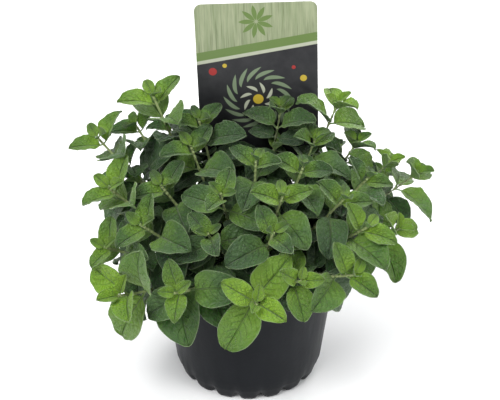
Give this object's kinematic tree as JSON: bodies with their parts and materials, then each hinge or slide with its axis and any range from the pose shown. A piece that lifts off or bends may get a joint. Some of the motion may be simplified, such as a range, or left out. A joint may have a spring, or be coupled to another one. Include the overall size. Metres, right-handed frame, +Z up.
{
  "type": "potted oregano plant",
  "caption": "Potted oregano: a rounded bush of leafy square stems rooted in peat, in a tapered black nursery pot, with a plant label standing at the back.",
  "frame": {"origin": "centre of the underside of the pot, where it stands", "axes": "+Z up, -Y towards the viewer that the label's printed side faces, +X to that viewer's right"},
  "size_m": [0.2531, 0.1955, 0.255],
  "materials": {
    "black_plastic": "matte moulded, a little scuffed",
    "peat": "rough, crumbly, dark and moist",
    "leaf_green": "soft, finely hairy, matte",
    "label_card": "printed, satin"
  },
  "bodies": {
    "root": {"pot": "black_plastic", "soil": "peat", "label": "label_card", "crown": "leaf_green", "crown_right": "leaf_green", "crown_left": "leaf_green", "crown_front_left": "leaf_green", "crown_front": "leaf_green", "label_right": "leaf_green", "label_left": "leaf_green", "label_front": "leaf_green", "tall_right": "leaf_green", "tall_left": "leaf_green", "left_high": "leaf_green", "left_back": "leaf_green", "left_middle": "leaf_green", "left_front": "leaf_green", "inner": "leaf_green", "left_inner": "leaf_green", "left_low": "leaf_green", "front_left_low": "leaf_green", "front_left": "leaf_green", "front_left_high": "leaf_green", "front_low": "leaf_green", "front_middle": "leaf_green", "front_right_low": "leaf_green", "right_front": "leaf_green", "right_front_low": "leaf_green", "right_middle_low": "leaf_green", "right_middle": "leaf_green", "right_back": "leaf_green", "right_high": "leaf_green", "right_far": "leaf_green", "right_low": "leaf_green", "back_left_low": "leaf_green", "back_left": "leaf_green", "back": "leaf_green", "back_high": "leaf_green", "back_right_high": "leaf_green", "back_right": "leaf_green", "back_right_low": "leaf_green"}
  },
  "joints": []
}
